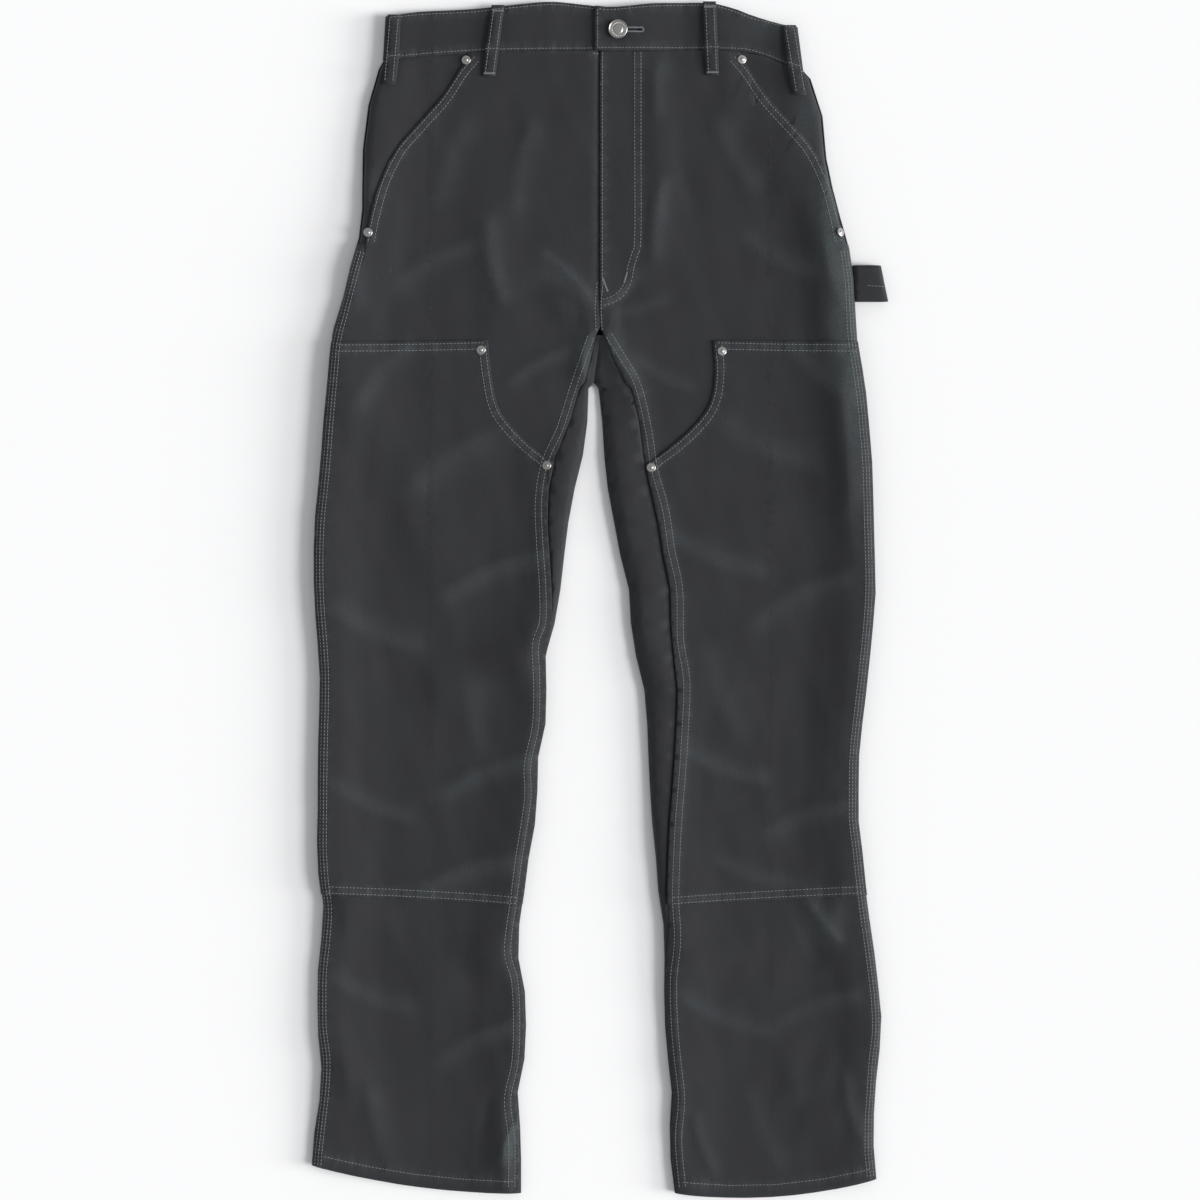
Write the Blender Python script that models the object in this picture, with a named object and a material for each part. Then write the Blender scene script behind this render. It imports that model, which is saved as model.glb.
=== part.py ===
"""Double-front carpenter pants, laid flat with the front up.

Metres. +Z is up off the surface, +Y points to the waist and +X to the wearer's left side.
The origin is the middle of the whole outline, on the surface. The outline is the photograph's,
at one millimetre a pixel: x = (column - 600) / 1000 and y = (600 - row) / 1000.
"""

import math
from collections import namedtuple

import bmesh
import bpy
from mathutils import Vector
from mathutils.bvhtree import BVHTree

# Cloth and hardware sizes
CLOTH = 0.0016  # one layer of heavy duck
BAND_CLOTH = 0.0030  # the waistband, folded double over its stiffening
STRAP_CLOTH = 0.0022  # belt loops and hammer loop, folded double
SEAM_GAP = 0.0003  # between two panels that are sewn edge to edge
LAYER_GAP = 0.0005  # between two cloths that lie on each other
RIVET_RADIUS = 0.0046
BUTTON_RADIUS = 0.0095

# Landmarks of the cut, from the waist down
WAIST_Y = 0.550  # the waistband's seam at the middle
FLY_END_Y = 0.305
CROTCH_Y = 0.265  # where the four panels meet
NOTCH_Y = 0.212  # where the legs part
HEM_Y = -0.594
FLY_UNDERLAP = 0.014  # how far the right front runs on under the left one

# Rolled side edges
ROLL = 0.010  # how far in from the edge the cloth turns over
INNER_ROLL = 0.008  # the same along the inside of the legs
FOLD_FADE = 0.012  # how far from a rolled edge the folds die out
SEAM_RISE = 0.004  # the least distance of the inseam above the inner edge
BEAD_REACH = 0.055  # how far in from the edge the cloth stays lifted

# The grids that the panels are made on
ROW_PITCH = 0.034
FRONT_COLUMNS = (0, 0.021, 0.042, 0.066, 0.13, 0.21, 0.31, 0.42, 0.53, 0.64, 0.75, 0.85, 0.925, 0.962, 1)
UNDER_COLUMNS = (0, 0.021, 0.042, 0.066, 0.28, 0.5, 0.72, 0.934, 0.958, 0.979, 1)
WRAP_COLUMNS = (0, 0.33, 0.66, 1)
CUTTER_TOP = 0.06  # the top of every cutter, above the garment

# Each leg's outline in the photograph: the outer and inner edges, and how far in on the front the
# inseam lies from the inner edge
Section = namedtuple("Section", "y outer inner inseam")
LEFT_LEG = (
    Section(0.600, 0.198, 0.000, 0.000),
    Section(0.530, 0.204, 0.000, 0.000),
    Section(0.500, 0.211, 0.000, 0.000),
    Section(0.470, 0.223, 0.000, 0.000),
    Section(0.440, 0.227, 0.000, 0.000),
    Section(0.400, 0.236, 0.000, 0.000),
    Section(0.367, 0.245, 0.000, 0.000),
    Section(0.335, 0.253, 0.000, 0.000),
    Section(0.300, 0.255, 0.000, 0.000),
    Section(0.265, 0.257, 0.000, 0.004),
    Section(0.212, 0.265, -0.0015, 0.034),
    Section(0.170, 0.269, 0.003, 0.040),
    Section(0.130, 0.272, 0.005, 0.044),
    Section(0.090, 0.273, 0.012, 0.048),
    Section(0.050, 0.274, 0.019, 0.047),
    Section(0.010, 0.275, 0.029, 0.045),
    Section(-0.040, 0.271, 0.032, 0.043),
    Section(-0.080, 0.267, 0.043, 0.038),
    Section(-0.120, 0.262, 0.047, 0.033),
    Section(-0.170, 0.258, 0.049, 0.028),
    Section(-0.220, 0.258, 0.052, 0.021),
    Section(-0.260, 0.263, 0.056, 0.015),
    Section(-0.300, 0.267, 0.059, 0.011),
    Section(-0.340, 0.273, 0.065, 0.007),
    Section(-0.380, 0.278, 0.064, 0.004),
    Section(-0.425, 0.282, 0.065, 0.004),
    Section(-0.460, 0.279, 0.068, 0.004),
    Section(-0.500, 0.275, 0.072, 0.004),
    Section(-0.540, 0.274, 0.069, 0.004),
    Section(-0.600, 0.278, 0.075, 0.004),
)
RIGHT_LEG = (
    Section(0.600, -0.215, 0.000, 0.000),
    Section(0.540, -0.217, 0.000, 0.000),
    Section(0.500, -0.224, 0.000, 0.000),
    Section(0.465, -0.237, 0.000, 0.000),
    Section(0.430, -0.238, 0.000, 0.000),
    Section(0.380, -0.238, 0.000, 0.000),
    Section(0.345, -0.247, 0.000, 0.000),
    Section(0.300, -0.258, 0.000, 0.000),
    Section(0.265, -0.268, 0.000, 0.004),
    Section(0.212, -0.273, -0.0115, 0.010),
    Section(0.170, -0.277, -0.013, 0.022),
    Section(0.136, -0.279, -0.019, 0.031),
    Section(0.100, -0.283, -0.028, 0.028),
    Section(0.060, -0.286, -0.034, 0.021),
    Section(0.015, -0.286, -0.039, 0.013),
    Section(-0.022, -0.284, -0.045, 0.007),
    Section(-0.045, -0.282, -0.055, 0.004),
    Section(-0.080, -0.280, -0.054, 0.004),
    Section(-0.125, -0.281, -0.055, 0.004),
    Section(-0.165, -0.282, -0.063, 0.004),
    Section(-0.200, -0.282, -0.063, 0.004),
    Section(-0.260, -0.283, -0.072, 0.004),
    Section(-0.300, -0.277, -0.077, 0.004),
    Section(-0.350, -0.280, -0.083, 0.004),
    Section(-0.380, -0.283, -0.076, 0.004),
    Section(-0.425, -0.283, -0.074, 0.004),
    Section(-0.465, -0.279, -0.076, 0.004),
    Section(-0.500, -0.281, -0.083, 0.004),
    Section(-0.540, -0.287, -0.079, 0.004),
    Section(-0.600, -0.290, -0.079, 0.004),
)
# How far the outer end of a row lies above its inner end, at the waist and at the hem
Slant = namedtuple("Slant", "waist hem hem_bow")
LEFT_SLANT = Slant(-0.020, 0.014, 0.0110)
RIGHT_SLANT = Slant(-0.010, 0.028, 0.008)

# How high the cloth stands off the surface: in the middle of a leg and at its two rolled edges
Height = namedtuple("Height", "y middle outer inner")
HEIGHTS = (
    Height(0.560, 0.0085, 0.0120, 0.0085),
    Height(0.480, 0.0088, 0.0150, 0.0088),
    Height(0.380, 0.0090, 0.0175, 0.0090),
    Height(0.265, 0.0090, 0.0180, 0.0090),
    Height(0.212, 0.0080, 0.0180, 0.0064),
    Height(0.140, 0.0075, 0.0175, 0.0130),
    Height(0.000, 0.0070, 0.0160, 0.0140),
    Height(-0.160, 0.0066, 0.0145, 0.0130),
    Height(-0.300, 0.0068, 0.0140, 0.0125),
    Height(-0.450, 0.0064, 0.0135, 0.0120),
    Height(-0.600, 0.0060, 0.0100, 0.0095),
)

# The largest folds on the front: soft ridges from one point to another
Fold = namedtuple("Fold", "x1 y1 x2 y2 height width")
FOLDS = (
    Fold(-0.012, 0.290, -0.066, 0.328, 0.0050, 0.012),
    Fold(-0.011, 0.282, -0.018, 0.222, 0.0035, 0.008),
    Fold(0.006, 0.281, 0.034, 0.205, 0.0045, 0.009),
    Fold(0.060, 0.505, 0.055, 0.360, 0.0035, 0.014),
    Fold(0.125, 0.510, 0.190, 0.415, 0.0040, 0.020),
    Fold(0.232, 0.375, 0.240, 0.265, 0.0060, 0.013),
    Fold(0.250, 0.205, 0.252, 0.110, 0.0050, 0.014),
    Fold(-0.108, 0.380, -0.100, 0.300, 0.0040, 0.016),
    Fold(-0.225, 0.180, -0.170, 0.060, 0.0045, 0.026),
    Fold(-0.070, -0.045, -0.150, -0.075, 0.0055, 0.018),
    Fold(0.060, -0.075, 0.140, -0.110, 0.0040, 0.020),
    Fold(-0.262, -0.300, -0.190, -0.330, 0.0045, 0.016),
    Fold(0.212, -0.303, 0.236, -0.340, 0.0055, 0.010),
    Fold(-0.100, -0.355, -0.160, -0.375, 0.0050, 0.016),
    Fold(0.085, -0.345, 0.150, -0.375, 0.0040, 0.018),
    Fold(0.195, -0.470, 0.222, -0.520, 0.0040, 0.018),
    Fold(-0.083, -0.512, -0.100, -0.560, 0.0055, 0.011),
    Fold(-0.255, -0.470, -0.215, -0.520, 0.0040, 0.018),
)

# The waistband's seam and top edge, from the wearer's right side to the left
EdgePoint = namedtuple("EdgePoint", "x y")
BAND_SEAM = (
    EdgePoint(-0.218, 0.540),
    EdgePoint(-0.170, 0.545),
    EdgePoint(-0.100, 0.549),
    EdgePoint(0.000, 0.550),
    EdgePoint(0.120, 0.550),
    EdgePoint(0.154, 0.547),
    EdgePoint(0.192, 0.533),
    EdgePoint(0.204, 0.530),
)
BAND_TOP = (
    EdgePoint(-0.216, 0.5845),
    EdgePoint(-0.180, 0.5890),
    EdgePoint(-0.130, 0.5915),
    EdgePoint(-0.090, 0.5955),
    EdgePoint(-0.048, 0.5990),
    EdgePoint(-0.015, 0.5960),
    EdgePoint(0.012, 0.5935),
    EdgePoint(0.060, 0.5975),
    EdgePoint(0.108, 0.5980),
    EdgePoint(0.132, 0.5930),
    EdgePoint(0.156, 0.5840),
    EdgePoint(0.198, 0.5740),
)
BAND_ROLL = 0.0055
BAND_STATIONS = 18  # along each half's front, and again along its back
BAND_LEFT_END = -0.005  # the buttonhole end, on top
BAND_RIGHT_END = 0.040  # the button's end, underneath
BAND_FRONT_Z = 0.0080  # outer face of the band on the front
BAND_UNDER_Z = 0.0072  # where it runs under the other end
BAND_OVER_Z = 0.0107  # where it lies on the other end
BAND_SIDE_Z = 0.0100  # at the folded side

# Scoop pocket and knee patch outlines on the wearer's left, seen from the front
SCOOP = (
    EdgePoint(0.136, 0.556),
    EdgePoint(0.150, 0.530),
    EdgePoint(0.168, 0.503),
    EdgePoint(0.190, 0.478),
    EdgePoint(0.212, 0.452),
    EdgePoint(0.228, 0.420),
    EdgePoint(0.238, 0.385),
    EdgePoint(0.243, 0.356),
)
RIGHT_SCOOP_SHIFT = 0.009  # how much nearer to the middle the right scoop lies
FACING_UNDERLAP = 0.022  # how far the facing runs on under the scoop's edge
PATCH_EDGE = (
    EdgePoint(0.113, 0.260),
    EdgePoint(0.115, 0.228),
    EdgePoint(0.111, 0.200),
    EdgePoint(0.098, 0.179),
    EdgePoint(0.076, 0.158),
    EdgePoint(0.050, 0.138),
    EdgePoint(0.020, 0.122),
)
RIGHT_PATCH_EDGE = (
    EdgePoint(-0.112, 0.260),
    EdgePoint(-0.109, 0.228),
    EdgePoint(-0.103, 0.197),
    EdgePoint(-0.092, 0.178),
    EdgePoint(-0.073, 0.158),
    EdgePoint(-0.051, 0.140),
    EdgePoint(-0.020, 0.124),
)
PATCH_TOP_OUTER_Y = 0.257
PATCH_BOTTOM_Y = -0.300

# Belt loops: the top and bottom ends of the two that show on the front
BeltLoop = namedtuple("BeltLoop", "name top_x bottom_x")
FRONT_LOOPS = (
    BeltLoop("belt_loop_front_left", 0.1095, 0.1125),
    BeltLoop("belt_loop_front_right", -0.1020, -0.1110),
)
LOOP_WIDTH = 0.0130
LOOP_DROP = 0.025  # how far a belt loop reaches below the waistband's seam
LOOP_RISE = 0.0010  # and above its top edge
LOOP_ARCH = 0.0022
LOOP_MARGIN = 0.0015  # how far inside the band's top edge a loop finds its height
SIDE_LOOP_INSET = 0.0028  # from the side's outline to the near edge of a side loop

# Hammer loop on the left outseam
HAMMER_TOP_Y = 0.3350
HAMMER_BOTTOM_Y = 0.2990
HAMMER_ROOT_GAP = 0.0005  # from the outseam to its upper ply
HAMMER_TUCK = 0.0027  # how far its under ply runs in below the rolled edge
HAMMER_END_TOP_X = 0.2815
HAMMER_END_BOTTOM_X = 0.2888
HAMMER_HEIGHT = 0.0118

# Rivets and the waist button
RIVETS = (
    ("rivet_pocket_top_left", 0.142, 0.541),
    ("rivet_pocket_side_left", 0.2395, 0.367),
    ("rivet_patch_top_left", 0.122, 0.249),
    ("rivet_patch_inner_left", 0.051, 0.1325),
    ("rivet_pocket_top_right", -0.134, 0.5405),
    ("rivet_pocket_side_right", -0.2315, 0.367),
    ("rivet_patch_top_right", -0.119, 0.250),
    ("rivet_patch_inner_right", -0.053, 0.1345),
)
BUTTON_X = 0.018
BUTTON_Y = 0.5710
BUTTON_SHANK = 0.0024
BUTTONHOLE_END = 0.041


# Curves and blends


def fade(t):
    """1 at t = 0 and below, 0 at t = 1 and above, level at both ends."""
    t = min(max(t, 0.0), 1.0)
    return 1 - t * t * (3 - 2 * t)


def along(rows, key, value, at):
    """The value column of a table at one place of its key column, on a smooth curve."""
    rows = sorted(rows, key=lambda row: getattr(row, key))
    keys = [getattr(row, key) for row in rows]
    values = [getattr(row, value) for row in rows]
    if at <= keys[0]:
        return values[0]
    if at >= keys[-1]:
        return values[-1]
    i = max(k for k in range(len(keys) - 1) if keys[k] <= at)
    slopes = [(values[k + 1] - values[k]) / (keys[k + 1] - keys[k]) for k in range(len(keys) - 1)]

    def tangent(k):
        if k == 0 or k == len(keys) - 1 or slopes[k - 1] * slopes[k] <= 0:
            return 0.0
        return 2 * slopes[k - 1] * slopes[k] / (slopes[k - 1] + slopes[k])

    step = keys[i + 1] - keys[i]
    t = (at - keys[i]) / step
    rise = values[i + 1] - values[i]
    curve = t * t * (3 - 2 * t) * rise
    curve += step * tangent(i) * t * (1 - t) ** 2 - step * tangent(i + 1) * t * t * (1 - t)
    return values[i] + curve


def curve_through(points, steps=3):
    """Plan points on a smooth curve through a short list of plan points."""
    made = []
    padded = [points[0], *points, points[-1]]
    for before, start, end, after in zip(padded, padded[1:], padded[2:], padded[3:]):
        for k in range(steps):
            t = k / steps
            weights = (
                (-t + 2 * t * t - t**3) / 2,
                (2 - 5 * t * t + 3 * t**3) / 2,
                (t + 4 * t * t - 3 * t**3) / 2,
                (t**3 - t * t) / 2,
            )
            pairs = list(zip(weights, (before, start, end, after)))
            made.append((sum(w * p[0] for w, p in pairs), sum(w * p[1] for w, p in pairs)))
    made.append((points[-1][0], points[-1][1]))
    return made


def fold_height(x, y):
    """How much the folds lift the front's cloth at one place."""
    lift = 0.0
    for fold in FOLDS:
        run_x, run_y = fold.x2 - fold.x1, fold.y2 - fold.y1
        length = math.hypot(run_x, run_y)
        t = ((x - fold.x1) * run_x + (y - fold.y1) * run_y) / length**2
        off = ((x - fold.x1) * run_y - (y - fold.y1) * run_x) / length
        beyond = max(-t, t - 1, 0.0) * length
        lift += fold.height * math.exp(-((off / fold.width) ** 2) - (beyond / (1.6 * fold.width)) ** 2)
    return lift


# The laid garment's surface: a flattened loop of cloth across each leg, row by row


class Row:
    """One line across a leg, from its outer edge to its inner edge or the garment's middle."""

    def __init__(self, leg, slant, y):
        share = (WAIST_Y - y) / (WAIST_Y - HEM_Y)
        outer_y = y + slant.waist + (slant.hem - slant.waist) * share
        self.parted = y <= NOTCH_Y
        inner_x = along(leg, "y", "inner", y) if self.parted else middle_x(y)
        self.outer = Vector((along(leg, "y", "outer", outer_y), outer_y))
        inner = Vector((inner_x, y))
        self.width = (inner - self.outer).length
        self.across = (inner - self.outer) / self.width
        self.y = y
        self.middle = along(HEIGHTS, "y", "middle", y)
        self.outer_half = along(HEIGHTS, "y", "outer", y) / 2
        self.inner_half = along(HEIGHTS, "y", "inner", y) / 2
        self.inner_roll = INNER_ROLL if self.parted else 0.0
        self.outer_arc = math.pi / 4 * (ROLL + self.outer_half)
        self.inner_arc = math.pi / 4 * (self.inner_roll + self.inner_half) if self.parted else 0.0
        self.length = self.outer_arc + self.width - ROLL - self.inner_roll + self.inner_arc
        self.inseam = max(along(leg, "y", "inseam", y), SEAM_RISE)
        self.hem_bow = slant.hem_bow * fade((y - HEM_Y) / 0.07)
        self.seam_share = fade((WAIST_Y - y) / 0.09)

    def plan(self, w):
        """The plan place at a distance w in from the outer edge, on the seam's or hem's curve."""
        place = self.outer + self.across * w
        t = w / self.width
        straight = self.outer.y + (self.y - self.outer.y) * t
        bend = (along(BAND_SEAM, "x", "y", place.x) - straight) * self.seam_share
        return Vector((place.x, place.y + bend - self.hem_bow * 4 * max(t * (1 - t), 0.0)))

    def top(self, w, place):
        """The height of the front's outer face."""
        from_outer = w - ROLL
        from_inner = self.width - w - self.inner_roll
        height = self.middle
        height += (2 * self.outer_half - self.middle) * fade(from_outer / BEAD_REACH)
        room = 1 - fade(from_outer / FOLD_FADE)
        if self.parted:
            height += (2 * self.inner_half - self.middle) * fade(from_inner / BEAD_REACH)
            room *= 1 - fade(from_inner / FOLD_FADE)
        return height + fold_height(place.x, place.y) * room

    def point(self, c, depth, side):
        """A point at arc length c from the outer edge, over the front (side 1) or under (side -1)."""
        if c < self.outer_arc:
            angle = c / self.outer_arc * math.pi / 2
            w = ROLL - (ROLL - depth) * math.cos(angle)
            z = self.outer_half + side * (self.outer_half - depth) * math.sin(angle)
        elif c > self.length - self.inner_arc:
            angle = (self.length - c) / self.inner_arc * math.pi / 2 if self.inner_arc else 0.0
            if not self.parted:
                w = self.width + c - self.length
                z = self.top(w, self.plan(w)) - depth if side > 0 else depth
                return self.plan(w).to_3d() + Vector((0, 0, z))
            w = self.width - self.inner_roll + (self.inner_roll - depth) * math.cos(angle)
            z = self.inner_half + side * (self.inner_half - depth) * math.sin(angle)
        else:
            w = ROLL + c - self.outer_arc
            z = self.top(w, self.plan(w)) - depth if side > 0 else depth
        return self.plan(w).to_3d() + Vector((0, 0, z))


def middle_x(y):
    """The garment's middle line, which runs a little to the right below the crotch."""
    return -0.0065 * (1 - fade((CROTCH_Y - y) / (CROTCH_Y - NOTCH_Y)))


def row_heights():
    """The rows' places from the waist to the hem, with one at the crotch and one at the notch."""
    marks = (WAIST_Y, FLY_END_Y, CROTCH_Y + 0.008, CROTCH_Y, NOTCH_Y + 0.006, NOTCH_Y, HEM_Y)
    made = [WAIST_Y]
    for start, end in zip(marks, marks[1:]):
        count = math.ceil((start - end) / ROW_PITCH)
        made += [start + (end - start) * (k + 1) / count for k in range(count)]
    return made


# Walls of cloth


def linked(name, mesh, material):
    obj = bpy.data.objects.new(name, mesh)
    bpy.context.scene.collection.objects.link(obj)
    mesh.materials.append(material)
    return obj


def wall(name, cells, outer, inner, material):
    """A closed cloth wall: a sheet of cells on the outer points, extruded to the inner points."""
    keys = list(outer)
    mesh = bmesh.new()
    layer = mesh.verts.layers.int.new("key")
    made = {}
    for index, key in enumerate(keys):
        made[key] = mesh.verts.new(outer[key])
        made[key][layer] = index
    for cell in cells:
        mesh.faces.new([made[key] for key in cell])
    bmesh.ops.triangulate(mesh, faces=mesh.faces[:], quad_method="FIXED")
    extruded = bmesh.ops.extrude_face_region(mesh, geom=mesh.faces[:])
    for vert in extruded["geom"]:
        if isinstance(vert, bmesh.types.BMVert):
            vert.co = inner[keys[vert[layer]]]
    loose = [vert for vert in mesh.verts if not vert.link_faces]
    bmesh.ops.delete(mesh, geom=loose, context="VERTS")
    bmesh.ops.triangulate(mesh, faces=mesh.faces[:])
    bmesh.ops.recalc_face_normals(mesh, faces=mesh.faces[:])
    data = bpy.data.meshes.new(name)
    mesh.to_mesh(data)
    mesh.free()
    data.shade_smooth()
    data.set_sharp_from_angle(angle=math.radians(50))
    return linked(name, data, material)


def grid_cells(rows, columns):
    return [
        ((i, j), (i, j + 1), (i + 1, j + 1), (i + 1, j))
        for i in range(rows - 1)
        for j in range(columns - 1)
    ]


def prism(name, outline, low=-0.02):
    """An unseen upright cutter with this plan outline, from a low height to above the garment."""
    mesh = bmesh.new()
    floor = mesh.faces.new([mesh.verts.new((x, y, low)) for x, y in outline])
    raised = bmesh.ops.extrude_face_region(mesh, geom=[floor])
    lifted = [v for v in raised["geom"] if isinstance(v, bmesh.types.BMVert)]
    bmesh.ops.translate(mesh, verts=lifted, vec=(0, 0, CUTTER_TOP - low))
    bmesh.ops.recalc_face_normals(mesh, faces=mesh.faces[:])
    data = bpy.data.meshes.new(name)
    mesh.to_mesh(data)
    mesh.free()
    cutter = bpy.data.objects.new(name, data)
    bpy.context.scene.collection.objects.link(cutter)
    cutter.hide_render = True
    cutter.display_type = "WIRE"
    return cutter


def cut(obj, cutter, operation):
    modifier = obj.modifiers.new(cutter.name, "BOOLEAN")
    modifier.operation = operation
    modifier.object = cutter
    modifier.solver = "EXACT"


# The four leg panels


def front_points(rows, side, depth, columns=FRONT_COLUMNS):
    """The front's points at one depth. The right front dips and runs on under the left one at the fly."""
    points = {}
    last = len(columns) - 1
    for i, row in enumerate(rows):
        end = row.length if row.y > CROTCH_Y + 0.001 else row.length - row.inseam
        dips = side < 0 and row.y > FLY_END_Y - 0.001
        if side < 0 and row.y > FLY_END_Y + 0.001:
            end += FLY_UNDERLAP
        end -= SEAM_GAP / 2
        for j, share in enumerate(columns):
            c = SEAM_GAP / 2 + (end - SEAM_GAP / 2) * share
            if dips and j == last - 1:
                c = row.length - 0.0015
            dip = CLOTH + LAYER_GAP if dips and j >= last - 1 else 0.0
            points[i, j] = row.point(c, depth + dip, 1)
    return points


def front_panel(name, rows, side, scoop, material):
    outer = front_points(rows, side, 0.0)
    inner = front_points(rows, side, CLOTH)
    panel = wall(name, grid_cells(len(rows), len(FRONT_COLUMNS)), outer, inner, material)
    beyond = side * 0.32
    outline = [*scoop, (beyond, scoop[-1][1] - 0.010), (beyond, 0.62), (scoop[0][0], 0.62)]
    cut(panel, prism(name + "_scoop", outline), "DIFFERENCE")
    return panel


def pocket_facing(name, rows, side, scoop, material):
    """The piece of shell cloth that shows inside the scoop pocket's mouth."""
    depth = CLOTH + LAYER_GAP
    reach = [k for k, share in enumerate(FRONT_COLUMNS) if share < 0.66]
    upper = [row for row in rows if row.y > scoop[-1][1] - 0.07]
    columns = [FRONT_COLUMNS[k] for k in reach]
    outer = front_points(upper, 1, depth, columns)
    inner = front_points(upper, 1, depth + CLOTH, columns)
    facing = wall(name, grid_cells(len(upper), len(columns)), outer, inner, material)
    under = [(x - side * FACING_UNDERLAP, y - 0.6 * FACING_UNDERLAP) for x, y in scoop]
    beyond = side * 0.32
    outline = [*under, (beyond, under[-1][1]), (beyond, 0.62), (under[0][0], 0.62)]
    cut(facing, prism(name + "_outline", outline), "INTERSECT")
    return facing


def back_panel(name, rows, material):
    """The back: its under side lies flat, and inside the leg it rolls up and over to the inseam."""
    last = len(UNDER_COLUMNS) - 1
    sides = {}
    cells = []
    for depth in (0.0, CLOTH):
        points = {}
        for i, row in enumerate(rows):
            start = SEAM_GAP / 2
            end = row.length if row.parted else row.length - SEAM_GAP / 2
            for j, share in enumerate(UNDER_COLUMNS):
                points[i, j] = row.point(start + (end - start) * share, depth, -1)
            if row.y > CROTCH_Y + 0.001:
                continue
            rise = row.inseam - SEAM_GAP / 2
            for k, share in enumerate(WRAP_COLUMNS):
                key = (i, last) if row.parted and k == 0 else (i, last + 1 + k)
                if key not in points:
                    points[key] = row.point(end - rise * share, depth, 1)
        sides[depth] = points
    for i in range(len(rows) - 1):
        cells += [((i, j), (i, j + 1), (i + 1, j + 1), (i + 1, j)) for j in range(last)]
        if rows[i].y > CROTCH_Y + 0.001:
            continue
        for k in range(len(WRAP_COLUMNS) - 1):
            near = [(r, last if rows[r].parted and k == 0 else last + 1 + k) for r in (i, i + 1)]
            far = [(r, last + 2 + k) for r in (i, i + 1)]
            cells.append((near[0], far[0], far[1], near[1]))
    return wall(name, cells, sides[0.0], sides[CLOTH], material)


def knee_patch(name, rows, side, edge, material):
    """The second cloth over the thigh and knee, laid on the front panel's own points."""
    upper, lower = edge[0][1] + ROW_PITCH, PATCH_BOTTOM_Y - 1.5 * ROW_PITCH
    covered = [row for row in rows if lower < row.y < upper]
    columns = FRONT_COLUMNS[1:]
    outer = front_points(covered, 1, -(LAYER_GAP + CLOTH), columns)
    inner = front_points(covered, 1, -LAYER_GAP, columns)
    patch = wall(name, grid_cells(len(covered), len(columns)), outer, inner, material)
    beyond = side * 0.32
    outline = [
        (beyond, PATCH_TOP_OUTER_Y),
        *edge,
        (side * -0.03, edge[-1][1]),
        (side * -0.03, PATCH_BOTTOM_Y - 0.008),
        (side * 0.14, PATCH_BOTTOM_Y - 0.002),
        (beyond, PATCH_BOTTOM_Y + 0.008),
    ]
    cut(patch, prism(name + "_outline", outline), "INTERSECT")
    return patch


# Waistband


def band_height(x, side):
    """The height of the band's outer face on the front, with its overlap at the fly."""
    if side > 0:
        return BAND_FRONT_Z + (BAND_OVER_Z - BAND_FRONT_Z) * fade((x - 0.046) / 0.030)
    return BAND_UNDER_Z + (BAND_FRONT_Z - BAND_UNDER_Z) * (1 - fade((-x - 0.012) / 0.030))


def band_place(x, share):
    """A plan place on the band: share 0 on its seam and 1 on its top edge."""
    seam = along(BAND_SEAM, "x", "y", x) + SEAM_GAP
    return Vector((x, seam + (along(BAND_TOP, "x", "y", x) - seam) * share))


def band_stations(side, depth, share):
    """Points round one half of the waistband, from its front end over the side to the middle back."""
    edge_low = along(LEFT_LEG if side > 0 else RIGHT_LEG, "y", "outer", 0.532)
    edge_high = along(LEFT_LEG if side > 0 else RIGHT_LEG, "y", "outer", 0.600)
    edge = edge_low + (edge_high - edge_low) * share
    start = BAND_LEFT_END if side > 0 else BAND_RIGHT_END
    turn = edge - side * BAND_ROLL
    points = []
    for k in range(BAND_STATIONS + 1):
        x = start + (turn - start) * k / BAND_STATIONS
        z = band_height(x, side)
        z += (BAND_SIDE_Z - z) * fade(abs(x - turn) / 0.035)
        points.append(band_place(x, share).to_3d() + Vector((0, 0, z - depth)))
    half = BAND_SIDE_Z / 2
    for angle in (60, 30, 0, -30, -60):
        turned = math.radians(angle)
        x = turn + side * (BAND_ROLL - depth) * math.cos(turned)
        place = band_place(x, share)
        points.append(Vector((x, place.y, half + (half - depth) * math.sin(turned))))
    middle = side * SEAM_GAP / 2
    for k in range(BAND_STATIONS + 1):
        place = band_place(turn + (middle - turn) * k / BAND_STATIONS, share)
        points.append(place.to_3d() + Vector((0, 0, depth)))
    return points


def waistband(name, side, material):
    outer, inner = {}, {}
    shares = (0.0, 0.5, 1.0)
    for i, share in enumerate(shares):
        for j, point in enumerate(band_stations(side, 0.0, share)):
            outer[i, j] = point
        for j, point in enumerate(band_stations(side, BAND_CLOTH, share)):
            inner[i, j] = point
    count = max(key[1] for key in outer) + 1
    return wall(name, grid_cells(len(shares), count), outer, inner, material)


# Straps


class Ground:
    """Finds the top face of some pieces, looking straight down."""

    def __init__(self, pieces):
        graph = bpy.context.evaluated_depsgraph_get()
        self.trees = [BVHTree.FromObject(piece, graph) for piece in pieces]

    def hit(self, x, y):
        found = [tree.ray_cast(Vector((x, y, 0.2)), Vector((0, 0, -1))) for tree in self.trees]
        found = [(place, normal) for place, normal, _, _ in found if place is not None]
        return max(found, key=lambda pair: pair[0].z)

    def height(self, x, y):
        return self.hit(x, y)[0].z


def belt_loop(name, edges, ground, material):
    """A strap from the band's top edge to below its seam. edges gives its two plan edges at a share."""
    steps = 8
    outer, inner = {}, {}
    for i in range(steps + 1):
        share = i / steps
        arch = LOOP_ARCH * math.sin(math.pi * share) ** 0.6 if 0 < share < 1 else 0.0
        left, right = edges(share)
        for j, t in enumerate((0.0, 0.5, 1.0)):
            place = left + (right - left) * t
            reach = min(place.y, band_place(place.x, 1.0).y - LOOP_MARGIN)
            z = ground.height(place.x, reach) + LAYER_GAP + arch
            outer[i, j] = Vector((place.x, place.y, z + STRAP_CLOTH))
            inner[i, j] = Vector((place.x, place.y, z))
    for points in (outer, inner):
        smooth_heights(points, steps)
    return wall(name, grid_cells(steps + 1, 3), outer, inner, material)


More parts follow.
